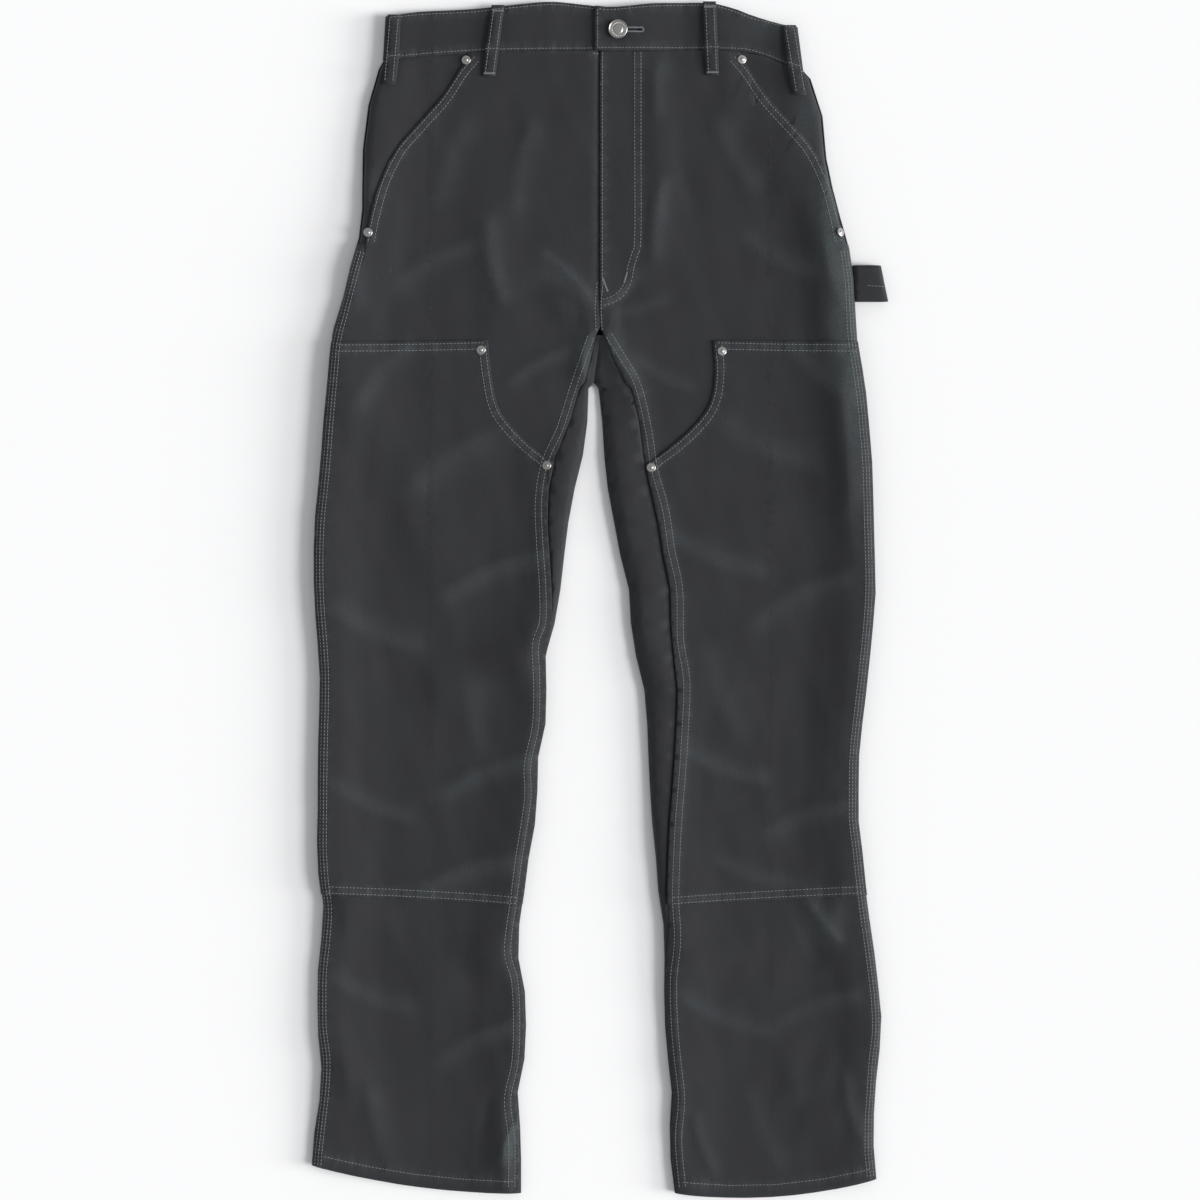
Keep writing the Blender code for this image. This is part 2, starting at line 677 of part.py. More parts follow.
def smooth_heights(points, steps):
    """Lets a strap bridge the step at the band's seam: no height lies under its two neighbours' mean."""
    for j in range(3):
        for i in range(1, steps):
            mean = (points[i - 1, j].z + points[i + 1, j].z) / 2
            points[i, j].z = max(points[i, j].z, mean)


def front_loop_edges(loop):
    top = band_place(loop.top_x, 1.0) + Vector((0, LOOP_RISE))
    bottom = band_place(loop.bottom_x, 0.0) - Vector((0, LOOP_DROP))
    half = Vector((LOOP_WIDTH / 2, 0))

    def edges(share):
        middle = top + (bottom - top) * share
        return middle - half, middle + half

    return edges


def side_loop_edges(leg, side):
    """A side loop runs down the folded side, close to its outline."""
    top_x = along(leg, "y", "outer", 0.580)
    top_y = band_place(top_x, 1.0).y + LOOP_RISE
    bottom_y = top_y - 0.070

    def edges(share):
        y = top_y + (bottom_y - top_y) * share
        near = along(leg, "y", "outer", y) - side * SIDE_LOOP_INSET
        return Vector((near, y)), Vector((near - side * LOOP_WIDTH, y))

    return edges


def hammer_loop(name, material):
    """A wide strap that leaves the left outseam, turns back under itself and ends at the back panel."""
    outer, inner = {}, {}
    turns = 6
    for i, share in enumerate((0.0, 0.5, 1.0)):
        y = HAMMER_TOP_Y + (HAMMER_BOTTOM_Y - HAMMER_TOP_Y) * share
        end = HAMMER_END_TOP_X + (HAMMER_END_BOTTOM_X - HAMMER_END_TOP_X) * share
        edge = along(LEFT_LEG, "y", "outer", y)
        half = HAMMER_HEIGHT / 2
        for points, depth in ((outer, 0.0), (inner, STRAP_CLOTH)):
            points[i, 0] = Vector((edge + HAMMER_ROOT_GAP, y, HAMMER_HEIGHT - depth))
            for k in range(turns + 1):
                angle = math.pi / 2 - math.pi * k / turns
                x = end - half + (half - depth) * math.cos(angle)
                points[i, 1 + k] = Vector((x, y, half + (half - depth) * math.sin(angle)))
            points[i, 2 + turns] = Vector((edge - HAMMER_TUCK, y, depth))
    return wall(name, grid_cells(3, turns + 3), outer, inner, material)


# Metal


def turned(name, profile, sides, material):
    """A solid of revolution about +Z from a profile of (radius, height) points on and off the axis."""
    mesh = bmesh.new()
    verts = [mesh.verts.new((radius, 0, height)) for radius, height in profile]
    edges = [mesh.edges.new(pair) for pair in zip(verts, verts[1:])]
    bmesh.ops.spin(
        mesh,
        geom=verts + edges,
        cent=(0, 0, 0),
        axis=(0, 0, 1),
        angle=2 * math.pi,
        steps=sides,
        use_merge=True,
    )
    bmesh.ops.remove_doubles(mesh, verts=mesh.verts[:], dist=0.00002)
    bmesh.ops.recalc_face_normals(mesh, faces=mesh.faces[:])
    data = bpy.data.meshes.new(name)
    mesh.to_mesh(data)
    mesh.free()
    data.shade_smooth()
    data.set_sharp_from_angle(angle=math.radians(35))
    return linked(name, data, material)


def rivet(name, x, y, ground, material):
    r = RIVET_RADIUS
    profile = (
        (0, 0),
        (r * 0.96, 0),
        (r, 0.0005),
        (r * 0.86, 0.0013),
        (r * 0.50, 0.0010),
        (r * 0.34, 0.0019),
        (0, 0.0021),
    )
    made = turned(name, profile, 16, material)
    place, normal = ground.hit(x, y)
    made.location = place + normal * LAYER_GAP
    made.rotation_mode = "QUATERNION"
    made.rotation_quaternion = normal.to_track_quat("Z", "Y")
    return made


def waist_button(name, material):
    """A shank button: its post stands on the under end of the band, through the buttonhole."""
    low = BAND_UNDER_Z + SEAM_GAP - BAND_OVER_Z
    cap = SEAM_GAP
    r = BUTTON_RADIUS
    profile = (
        (0, low),
        (BUTTON_SHANK, low),
        (BUTTON_SHANK, cap),
        (r * 0.95, cap),
        (r, cap + 0.0008),
        (r * 0.97, cap + 0.0022),
        (r * 0.86, cap + 0.0027),
        (r * 0.78, cap + 0.0021),
        (r * 0.40, cap + 0.0024),
        (0, cap + 0.0025),
    )
    made = turned(name, profile, 32, material)
    made.location = (BUTTON_X, BUTTON_Y, BAND_OVER_Z)
    return made


def cut_buttonhole(band):
    """A keyhole: a round eye at the post and a slit towards the side."""
    eye = BUTTON_SHANK + 0.0006
    round_part = [
        (BUTTON_X + eye * math.cos(a), BUTTON_Y + eye * math.sin(a))
        for a in (math.radians(25 + 310 * k / 14) for k in range(15))
    ]
    slit = 0.0009
    outline = [*round_part, (BUTTONHOLE_END, BUTTON_Y - slit), (BUTTONHOLE_END, BUTTON_Y + slit)]
    cut(band, prism("buttonhole", outline, BAND_SIDE_Z / 2), "DIFFERENCE")


# Colours


def material(name, colour, roughness, metallic=0.0):
    made = bpy.data.materials.new(name)
    made.use_nodes = True
    shader = made.node_tree.nodes["Principled BSDF"]
    shader.inputs["Base Color"].default_value = (*colour, 1)
    shader.inputs["Roughness"].default_value = roughness
    shader.inputs["Metallic"].default_value = metallic
    made.diffuse_color = (*colour, 1)
    return made


def main():
    for obj in list(bpy.data.objects):
        bpy.data.objects.remove(obj)

    duck = material("black_duck", (0.030, 0.030, 0.033), 0.85)
    nickel = material("nickel", (0.62, 0.61, 0.59), 0.35, 1.0)

    heights = row_heights()
    left_rows = [Row(LEFT_LEG, LEFT_SLANT, y) for y in heights]
    right_rows = [Row(RIGHT_LEG, RIGHT_SLANT, y) for y in heights]
    left_scoop = curve_through(SCOOP)
    right_scoop = [(RIGHT_SCOOP_SHIFT - x, y) for x, y in left_scoop]
    left_edge = curve_through(PATCH_EDGE)
    right_edge = curve_through(RIGHT_PATCH_EDGE)

    pieces = [
        back_panel("back_left", left_rows, duck),
        back_panel("back_right", right_rows, duck),
        front_panel("front_left", left_rows, 1, left_scoop, duck),
        front_panel("front_right", right_rows, -1, right_scoop, duck),
        pocket_facing("pocket_facing_left", left_rows, 1, left_scoop, duck),
        pocket_facing("pocket_facing_right", right_rows, -1, right_scoop, duck),
        knee_patch("knee_patch_left", left_rows, 1, left_edge, duck),
        knee_patch("knee_patch_right", right_rows, -1, right_edge, duck),
        waistband("waistband_left", 1, duck),
        waistband("waistband_right", -1, duck),
    ]
    cut_buttonhole(pieces[-2])

    ground = Ground(pieces)
    for loop in FRONT_LOOPS:
        belt_loop(loop.name, front_loop_edges(loop), ground, duck)
    belt_loop("belt_loop_side_left", side_loop_edges(LEFT_LEG, 1), ground, duck)
    belt_loop("belt_loop_side_right", side_loop_edges(RIGHT_LEG, -1), ground, duck)
    hammer_loop("hammer_loop", duck)
    for name, x, y in RIVETS:
        rivet(name, x, y, ground, nickel)
    waist_button("waist_button", nickel)


main()
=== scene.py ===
import math
import bmesh
import bpy
import numpy as np
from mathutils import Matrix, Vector, kdtree
from mathutils.bvhtree import BVHTree


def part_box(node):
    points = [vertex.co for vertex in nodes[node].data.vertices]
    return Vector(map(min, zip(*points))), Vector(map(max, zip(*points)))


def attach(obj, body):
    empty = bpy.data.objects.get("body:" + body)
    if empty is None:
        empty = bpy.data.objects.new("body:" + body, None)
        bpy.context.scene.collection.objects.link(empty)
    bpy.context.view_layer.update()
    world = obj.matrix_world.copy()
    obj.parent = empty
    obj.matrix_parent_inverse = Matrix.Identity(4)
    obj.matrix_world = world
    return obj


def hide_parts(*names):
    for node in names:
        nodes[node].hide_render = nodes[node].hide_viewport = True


# Black double-front carpenter pants, laid flat with the front up.
# Metres in the frame; the tables of seams and creases are in millimetres,
# from the middle of the laid garment, with x to the wearer's left and y to the waist.

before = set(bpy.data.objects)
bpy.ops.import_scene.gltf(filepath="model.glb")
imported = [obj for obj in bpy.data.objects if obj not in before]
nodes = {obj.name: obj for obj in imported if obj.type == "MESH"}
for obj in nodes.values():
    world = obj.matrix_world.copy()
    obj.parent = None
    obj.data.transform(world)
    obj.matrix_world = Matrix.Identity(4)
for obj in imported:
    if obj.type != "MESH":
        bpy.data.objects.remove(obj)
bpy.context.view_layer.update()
mm = 0.001
print("frame loaded:", len(nodes), "nodes")

clothCut = {  # node: flat width, flat length and the cut's area, in metres
    "back_left": (0.30, 1.17, 0.285),
    "back_right": (0.31, 1.17, 0.285),
    "front_left": (0.29, 1.17, 0.250),
    "front_right": (0.31, 1.17, 0.255),
    "pocket_facing_left": (0.13, 0.22, 0.014),
    "pocket_facing_right": (0.13, 0.22, 0.015),
    "knee_patch_left": (0.23, 0.57, 0.110),
    "knee_patch_right": (0.24, 0.57, 0.120),
    "waistband_left": (0.42, 0.050, 0.0185),
    "waistband_right": (0.47, 0.050, 0.0215),
    "belt_loop_front_left": (0.0135, 0.075, 0.00098),
    "belt_loop_front_right": (0.0135, 0.075, 0.00098),
    "belt_loop_side_left": (0.0135, 0.072, 0.00095),
    "belt_loop_side_right": (0.0135, 0.072, 0.00095),
    "hammer_loop": (0.036, 0.072, 0.0025),
}

mesh = {"coarse": 16.0, "fine": 7.5, "atSeams": 3.2, "seamReach": 5.0, "smoothing": 5, "rounds": 8}

shaping = {  # where the seams' relief fades out, and how much painted sheen pales crease ridges, seam ridges and puckers
    "faceFrom": 0.05, "underFrom": 0.5, "fade": 0.3, "underBelow": 0.001, "outward": -0.35,
    "creaseSheen": 0.35, "ridgeSheen": 0.35, "gatherSheen": 0.4, "legMiddle": 0.17,
}

wave = {  # the cloth's own unevenness
    "count": 18, "shortest": 22.0, "longest": 120.0, "height": 0.55,
    "seed": 11, "maskLow": 0.003, "maskHigh": 0.008,
}

creaseShape = {"bow": 0.06, "steepSide": 0.75, "softSide": 1.35, "runOut": 1.5}

# Creases: x1, y1, x2, y2, height (below 0 for a trough), half width
creases = [
    (-8, 300, -54, 346, 1.5, 5), (-22, 292, -84, 322, -1.0, 6), (4, 296, 34, 322, 1.2, 5),
    (5, 262, 30, 226, 1.4, 5), (-9, 268, -18, 228, 1.2, 4), (16, 288, 62, 300, 0.9, 6),
    (60, 542, 57, 492, 1.2, 6), (62, 414, 54, 350, 1.5, 6), (78, 470, 92, 400, -0.9, 8),
    (-112, 376, -100, 306, 1.5, 7), (-70, 470, -84, 400, 1.0, 8), (-138, 470, -160, 410, 1.0, 10),
    (120, 470, 150, 420, 1.0, 10), (228, 440, 238, 300, 1.6, 8), (-232, 420, -246, 300, 1.4, 8),
    (150, 360, 205, 330, 1.0, 9), (-140, 352, -200, 318, 1.1, 9), (36, 240, 84, 214, 1.1, 6),
    (-38, 248, -88, 220, 1.2, 6), (70, 64, 152, 30, 1.3, 9), (240, 22, 160, -18, 1.1, 10),
    (86, -152, 158, -178, 1.4, 8), (236, -206, 172, -230, 1.2, 9), (92, -216, 150, -204, -0.9, 8),
    (-66, 44, -150, 8, 1.4, 9), (-262, -12, -190, -44, 1.2, 10), (-78, -160, -152, -190, 1.5, 9),
    (-262, -188, -198, -216, 1.2, 8), (-92, -262, -172, -286, 1.3, 9), (120, -262, 190, -284, 1.1, 8),
    (211, -305, 236, -337, 1.7, 5), (196, -312, 214, -352, -0.9, 6), (88, -402, 162, -432, 1.3, 8),
    (250, -394, 186, -418, 1.1, 8), (-264, -380, -198, -408, 1.2, 8), (-98, -428, -156, -458, 1.3, 8),
    (-82, -518, -97, -556, 1.6, 5), (-110, -500, -120, -560, -0.9, 6), (150, -500, 176, -560, 1.0, 8),
    (-230, -500, -210, -566, 1.1, 8), (96, -520, 112, -566, 1.1, 6), (246, -480, 262, -540, 1.1, 6),
    (-120, 160, -180, 120, 1.0, 12), (130, 170, 200, 140, 1.0, 12), (-200, 250, -240, 200, 1.1, 9),
    (200, 245, 246, 205, 1.2, 9), (110, -60, 130, -120, 0.9, 12), (-130, -90, -118, -150, 0.9, 12),
]

paintedSheenSpots = [  # places given a pale painted sheen highlight: x, y, half width, half height, strength
    (160, 573, 36, 14, 0.45), (205, 480, 12, 40, 0.60), (226, 385, 10, 44, 0.70), (240, 300, 12, 60, 1.00),
    (249, 205, 9, 60, 0.90), (256, 110, 7, 60, 0.50), (64, 530, 12, 12, 0.35), (62, 385, 7, 34, 0.35),
    (-46, 322, 22, 12, 0.45), (-17, 244, 6, 26, 0.60), (17, 240, 7, 30, 0.60), (222, -322, 20, 24, 0.60),
    (-88, -540, 8, 26, 0.40), (-100, 345, 8, 34, 0.30),
]

thread = {  # one lockstitch, and where it lies on the cloth
    "pitch": 3.5, "length": 2.9, "radius": 0.42, "lift": 0.17, "dive": 0.42,
    "groove": 0.12, "grooveWidth": 1.4, "ridge": 0.40, "ridgeWidth": 4.2,
    "pucker": 0.38, "puckerReach": 6.5,
}

leftInseam = [
    (4, 262), (20, 236), (33, 212), (43, 170), (49, 130), (60, 90), (66, 50), (74, 10), (75, -40),
    (81, -80), (80, -120), (77, -170), (73, -220), (71, -260), (70, -300), (72, -340), (68, -380),
    (69, -425), (72, -460), (76, -500), (73, -540), (77, -588),
]
rightInseam = [
    (-4, 262), (-13, 236), (-21.5, 212), (-35, 170), (-50, 136), (-56, 100), (-55, 60), (-52, 15),
    (-52, -22), (-59, -45), (-58, -80), (-59, -125), (-67, -165), (-67, -200), (-76, -260),
    (-81, -300), (-87, -350), (-80, -380), (-78, -425), (-80, -465), (-87, -500), (-83, -540), (-83, -588),
]
leftScoop = [(136, 546), (150, 530), (168, 503), (190, 478), (212, 452), (228, 420), (238, 385), (243, 360)]
bandSeam = [(-214, 540.5), (-170, 545), (-100, 549), (0, 550), (120, 550), (154, 547), (192, 533), (201, 531)]
bandTop = [
    (-212, 585), (-180, 589), (-130, 591.5), (-90, 595.5), (-48, 599), (-15, 596), (12, 593.5),
    (60, 597.5), (108, 598), (132, 593), (156, 584), (194, 575),
]


def shifted(points, dx=0.0, dy=0.0, flip=1):
    return [(flip * x + dx, y + dy) for x, y in points]


def clipped(points, low, high):  # the stretch of a line between two x values
    line = sorted(points)
    xs = [p[0] for p in line]
    ys = [p[1] for p in line]
    inside = [x for x in xs if low < x < high]
    return [(x, float(np.interp(x, xs, ys))) for x in [low, *inside, high]]


solidTrees = {name: BVHTree.FromPolygons(
    [v.co for v in obj.data.vertices], [p.vertices for p in obj.data.polygons]
) for name, obj in nodes.items()}


def reach(names, start, way):  # where a ray first meets one of these solids
    best = None
    for name in names:
        place, _, _, far = solidTrees[name].ray_cast(Vector(start), Vector(way))
        if place is not None and (best is None or far < best[1]):
            best = (place, far)
    return best[0] if best else None


def outseam(side):  # the leg's outline, every 30 mm down from the hip
    line = []
    name = "left" if side > 0 else "right"
    for y in (*range(350, -560, -30), -565, -577):
        hits = [
            reach(["back_" + name, "front_" + name], (side * 0.4, y * mm, height), (-side, 0, 0))
            for height in (0.002, 0.004, 0.0065)
        ]
        found = [side * place.x for place in hits if place]
        if found and (not line or abs(side * max(found) / mm - line[-1][0]) < 10):
            line.append((side * max(found) / mm, y))
    return line


def hemLine(side, low, high, above):
    line = []
    for k in range(13):
        x = low + (high - low) * k / 12
        name = "back_left" if side > 0 else "back_right"
        place = reach([name], (x * mm, -0.7, 0.0008), (0, 1, 0))
        if place:
            line.append((x, place.y / mm + above))
    middle = float(np.median([y for _, y in line]))
    return [(x, y) for x, y in line if abs(y - middle) < 30]


patchLeft = [(113, 255), (115, 228), (111, 200), (98, 179), (76, 158), (56, 143), (49, 136)]
patchRight = [(-112, 255), (-109, 228), (-103, 197), (-92, 178), (-73, 158), (-56, 144), (-50, 138)]
fly = [(34.7, 549), (34.7, 460), (34.7, 365), (32, 348), (28, 335), (25, 320), (19, 309), (10, 303), (3, 301)]

# Seams: name, group, line, and the stitch rows' offsets to the left of the line's direction
seams = [
    ("scoopLeft", "front", leftScoop, (-2.6, -8.8)),
    ("scoopRight", "front", shifted(leftScoop, 9, 0, -1), (2.6, 8.8)),
    ("flyCurve", "front", fly, (0, 6.2)),
    ("flyEdge", "front", [(0, 549), (0, 430), (0, 318)], (2.2,)),
    ("rise", "front", [(0, 318), (-2, 294), (-1, 270)], (3.0, -3.0)),
    ("inseamLeft", "legs", leftInseam, (2.4, 8.6)),
    ("inseamRight", "legs", rightInseam, (-2.4, -8.6)),
    ("patchEdgeLeft", "patches", patchLeft, (2.6, 8.8)),
    ("patchEdgeRight", "patches", patchRight, (-2.6, -8.8)),
    ("patchTopLeft", "patches", [(117, 260), (180, 258.5), (256, 257)], (-2.6, -8.8)),
    ("patchTopRight", "patches", [(-116, 260), (-180, 258.5), (-262, 257)], (2.6, 8.8)),
    ("patchFootLeft", "patches", [(73, -306), (140, -302), (262, -295)], (2.6, 8.8)),
    ("patchFootRight", "patches", [(-84, -306), (-140, -302), (-274, -295)], (-2.6, -8.8)),
    ("outseamLeft", "sides", outseam(1), (-2.4, -5.6, -8.8)),
    ("outseamRight", "sides", outseam(-1), (2.4, 5.6, 8.8)),
    ("hemLeft", "hems", hemLine(1, 82, 268, 12.5), (0,)),
    ("hemRight", "hems", hemLine(-1, -277, -88, 12.5), (0,)),
    ("bandFootLeft", "waist", clipped(bandSeam, -1, 200), (2.8,)),
    ("bandFootRight", "waist", clipped(bandSeam, -213, -7), (2.8,)),
    ("bandHeadLeft", "waist", clipped(bandTop, -1, 194), (-2.8,)),
    ("bandHeadRight", "waist", clipped(bandTop, -211, -7), (-2.8,)),
    ("bandEnd", "waist", [(-5, 592), (-5, 553)], (2.6,)),
]
underSeams = [
    ("seat", "under", [(0, 545), (-1, 400), (-2, 270), (-6, 216)], (3.0, -3.0)),
    ("underBand", "under", clipped(bandSeam, -200, 190), (2.8,)),
    ("underBandHead", "under", clipped(bandTop, -200, 185), (-2.8,)),
    ("underHemLeft", "under", hemLine(1, 84, 266, 12.5), (0,)),
    ("underHemRight", "under", hemLine(-1, -276, -94, 12.5), (0,)),
    ("underSideLeft", "under", shifted(outseam(1), -12), (0,)),
    ("underSideRight", "under", shifted(outseam(-1), 12), (0,)),
]


def smoothLine(points, pitch):  # even steps along a smooth curve through the points
    padded = [np.array(p, float) for p in (points[0], *points, points[-1])]
    dense = []
    for a, b, c, d in zip(padded, padded[1:], padded[2:], padded[3:]):
        for t in np.linspace(0, 1, 20, endpoint=False):
            bend = (2 * a - 5 * b + 4 * c - d) * t * t + (3 * b - a - 3 * c + d) * t**3
            dense.append(0.5 * (2 * b + (c - a) * t + bend))
    dense.append(padded[-1])
    dense = np.array(dense)
    run = np.concatenate([[0], np.cumsum(np.linalg.norm(np.diff(dense, axis=0), axis=1))])
    steps = np.arange(pitch / 2, run[-1], pitch)

    def at(s):
        s = np.clip(s, 0, run[-1])
        return np.column_stack([np.interp(s, run, dense[:, 0]), np.interp(s, run, dense[:, 1])])

    way = at(steps + 0.8) - at(steps - 0.8)
    way /= np.linalg.norm(way, axis=1)[:, None]
    return at(steps), way, steps


def offsetRow(points, offset, pitch):
    place, way, steps = smoothLine(points, pitch)
    left = np.column_stack([-way[:, 1], way[:, 0]])
    return place + left * offset, way, steps


def treeOf(points):
    tree = kdtree.KDTree(len(points))
    for k, (x, y) in enumerate(points):
        tree.insert((x, y, 0), k)
    tree.balance()
    return tree


rowStep = 1.2  # between the points that stand for a row
seamStart = 137.0  # how far apart two seams start in the pattern of puckers
rowPoints = []
midPoints = []
midRuns = []
for count, (name, group, line, offsets) in enumerate(seams):
    for offset in offsets:
        rowPoints.extend(offsetRow(line, offset, rowStep)[0])
    place, _, steps = offsetRow(line, sum(offsets) / len(offsets), rowStep)
    midPoints.extend(place)
    midRuns.extend(steps + seamStart * count)
rowTree = treeOf(rowPoints)
midTree = treeOf(midPoints)
midRuns = np.array(midRuns)
underPoints = []
for name, group, line, offsets in underSeams:
    for offset in offsets:
        underPoints.extend(offsetRow(line, offset, rowStep)[0])
underTree = treeOf(underPoints)
print("seams laid out:", len(seams) + len(underSeams))

dice = np.random.default_rng(wave["seed"])
lengths = np.geomspace(wave["shortest"], wave["longest"], wave["count"])
angles = dice.uniform(0, math.pi, wave["count"])
phases = dice.uniform(0, 2 * math.pi, wave["count"])


def unevenness(x, y):
    total = np.zeros_like(x)
    for length, angle, phase in zip(lengths, angles, phases):
        along = x * math.cos(angle) + y * math.sin(angle)
        total += (length / wave["longest"]) ** 0.7 * np.sin(2 * math.pi * along / length + phase)
    return total * wave["height"] / math.sqrt(wave["count"] / 2)


def creaseField(x, y):
    total = np.zeros_like(x)
    for x1, y1, x2, y2, height, width in creases:
        runX, runY = x2 - x1, y2 - y1
        long = math.hypot(runX, runY)
        t = ((x - x1) * runX + (y - y1) * runY) / long**2
        bow = creaseShape["bow"] * long * np.clip(4 * t * (1 - t), 0, 1)
        off = ((x - x1) * runY - (y - y1) * runX) / long - bow
        beyond = np.maximum(np.maximum(-t, t - 1), 0) * long
        steep = np.where(off > 0, creaseShape["steepSide"], creaseShape["softSide"])
        runOut = creaseShape["runOut"] * width
        total += height * np.exp(-((off / (width * steep)) ** 2) - (beyond / runOut) ** 2)
    return total


# painted sheen: soft pale spots at the listed places
def paintedSheenSpotField(x, y):
    total = np.zeros_like(x)
    for middleX, middleY, halfX, halfY, strength in paintedSheenSpots:
        total += strength * np.exp(-(((x - middleX) / halfX) ** 2) - ((y - middleY) / halfY) ** 2)
    return total


def nearest(tree, x, y):
    found = [tree.find((a, b, 0)) for a, b in zip(x, y)]
    return np.array([f[2] for f in found]), np.array([f[1] for f in found])


puckerWaves = [(0.5, 2.05, 0.0), (0.32, 1.17, 1.3), (0.3, 3.7, 0.4)]  # height, length, start


def puckers(s):
    return sum(height * np.sin(s / length + start) for height, length, start in puckerWaves)


def outward(face, side):
    return side == 0 or face.normal.z * side > shaping["outward"]


def refine(bm, longest, side, near=None):
    for _ in range(mesh["rounds"]):
        edges = []
        for edge in bm.edges:
            if edge.calc_length() <= longest * mm:
                continue
            if near is not None:
                middle = (edge.verts[0].co + edge.verts[1].co) / 2
                if near.find((middle.x / mm, middle.y / mm, 0))[2] > mesh["seamReach"]:
                    continue
            if side and not any(outward(face, side) for face in edge.link_faces):
                continue
            edges.append(edge)
        if not edges:
            return
        bmesh.ops.subdivide_edges(bm, edges=edges, cuts=1)
        wide = [face for face in bm.faces if len(face.verts) > 3]
        bmesh.ops.triangulate(bm, faces=wide)


def clothPiece(node, side):  # the solid's own form, with finer cloth on its outer face
    bm = bmesh.new()
    bm.from_mesh(nodes[node].data)
    bmesh.ops.remove_doubles(bm, verts=bm.verts, dist=0.00001)
    refine(bm, mesh["coarse"], 0)
    bm.normal_update()
    refine(bm, mesh["fine"], side)
    for _ in range(mesh["smoothing"]):
        bmesh.ops.smooth_vert(bm, verts=bm.verts, factor=0.5, use_axis_z=True)
    bm.normal_update()
    if side >= 0:
        refine(bm, mesh["atSeams"], side, midTree)
    bm.normal_update()

    co = np.array([v.co for v in bm.verts])
    up = np.array([v.normal.z for v in bm.verts])
    x, y, z = co[:, 0] / mm, co[:, 1] / mm, co[:, 2]
    mask = np.clip((z - wave["maskLow"]) / (wave["maskHigh"] - wave["maskLow"]), 0, 1)
    crease = creaseField(x, y)
    lift = (crease + unevenness(x, y)) * mask
    toRow, _ = nearest(rowTree, x, y)
    toMid, which = nearest(midTree, x, y)
    face = np.clip((up - shaping["faceFrom"]) / shaping["fade"], 0, 1) * mask
    groove = np.exp(-((toRow / thread["grooveWidth"]) ** 2))
    ridge = np.exp(-((toMid / thread["ridgeWidth"]) ** 2))
    gather = puckers(midRuns[which]) * np.exp(-((toMid / thread["puckerReach"]) ** 2))
    lift += face * (thread["ridge"] * ridge + thread["pucker"] * gather - thread["groove"] * groove)
    if side < 0:
        toUnder, _ = nearest(underTree, x, y)
        below = np.clip((-up - shaping["underFrom"]) / shaping["fade"], 0, 1) * (z < shaping["underBelow"])
        lift += below * thread["groove"] * np.exp(-((toUnder / thread["grooveWidth"]) ** 2))
    co[:, 2] += lift * mm
    for vert, place in zip(bm.verts, co):
        vert.co = place
    made = bpy.data.meshes.new(node + "_cloth")
    bm.to_mesh(made)
    bm.free()
    made.shade_smooth()

    # Painted sheen: the cloth is coloured paler on crease ridges, on the ridges and puckers beside seams and,
    # on the front pieces, at the listed spots, standing in for highlights.
    seamSheen = shaping["ridgeSheen"] * ridge + shaping["gatherSheen"] * np.clip(gather, 0, 1)
    paintedSheen = np.clip(crease * shaping["creaseSheen"], 0, 1) * mask + face * seamSheen
    if side >= 0:
        paintedSheen += paintedSheenSpotField(x, y)
    made.attributes.new("paintedSheen", "FLOAT", "POINT").data.foreach_set("value", np.clip(paintedSheen, 0, 1))
    uv = made.uv_layers.new(name="weave")
    index = np.zeros(len(made.loops), np.int32)
    made.loops.foreach_get("vertex_index", index)
    centre = np.sign(co[:, 0]) * shaping["legMiddle"]  # the weave runs on round each side
    lean = np.sign(co[:, 0] - centre) * (1 if side >= 0 else -1)
    flat = np.column_stack([co[:, 0] - lean * co[:, 2], co[:, 1]])
    uv.data.foreach_set("uv", flat[index].ravel())
    piece = bpy.data.objects.new(node + "_cloth", made)
    bpy.context.scene.collection.objects.link(piece)
    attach(piece, "root")
    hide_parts(node)
    return piece


clothPieces = {}
for node in clothCut:
    side = -1 if node.startswith("back") else 1
    if node.startswith(("waistband", "hammer", "belt")):
        side = 0
    clothPieces[node] = clothPiece(node, side)
    print("cloth:", node, len(clothPieces[node].data.polygons), "faces")

verts = []
polygons = []
for piece in clothPieces.values():
    base = len(verts)
    verts.extend(v.co.copy() for v in piece.data.vertices)
    polygons.extend([base + k for k in p.vertices] for p in piece.data.polygons)
cloth = BVHTree.FromPolygons(verts, polygons)
print("cloth joined for the sewing:", len(polygons), "faces")


def onCloth(x, y, way=-1):  # the cloth's outer face, from above or below
    place, normal, _, _ = cloth.ray_cast(Vector((x * mm, y * mm, -0.1 * way)), Vector((0, 0, way)))
    if place is None:
        return None
    return place, normal if normal.z * way < 0 else -normal


def stitchShape(length, radius):  # a short thread, thick in the middle, its ends dipping into the cloth
    bm = bmesh.new()
    bmesh.ops.create_uvsphere(bm, u_segments=5, v_segments=4, radius=1)
    bm.verts.ensure_lookup_table()
    ball = np.array([v.co for v in bm.verts])
    faces = [[v.index for v in f.verts] for f in bm.faces]
    bm.free()
    along = np.sign(ball[:, 2]) * np.abs(ball[:, 2]) ** 0.8
    shape = np.column_stack([along * length / 2, ball[:, 0] * radius, ball[:, 1] * radius])
    shape[:, 2] += thread["lift"] - thread["dive"] * along**2
    return shape * mm, faces


def sew(name, spots, shape, faces, material):  # spots: place, normal and direction of each stitch
    points = []
    for place, normal, way in spots:
        ahead = (way - normal * way.dot(normal)).normalized()
        across = normal.cross(ahead)
        turn = np.array([ahead, across, normal])
        points.append(shape @ turn + np.array(place))
    count = len(shape)
    made = bpy.data.meshes.new(name)
    made.from_pydata(
        np.concatenate(points).tolist(), [],
        [[k * count + i for i in face] for k in range(len(points)) for face in faces],
    )
    made.shade_smooth()
    made.materials.append(material)
    piece = bpy.data.objects.new(name, made)
    bpy.context.scene.collection.objects.link(piece)
    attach(piece, "root")
    return piece


def rowSpots(line, offset, way=-1, pitch=thread["pitch"]):
    spots = []
    place, heading, _ = offsetRow(line, offset, pitch)
    for (x, y), (dx, dy) in zip(place, heading):
        found = onCloth(x, y, way)
        if found and abs(found[1].z) > 0.12:
            spots.append((found[0], found[1], Vector((dx, dy, 0))))
    return spots


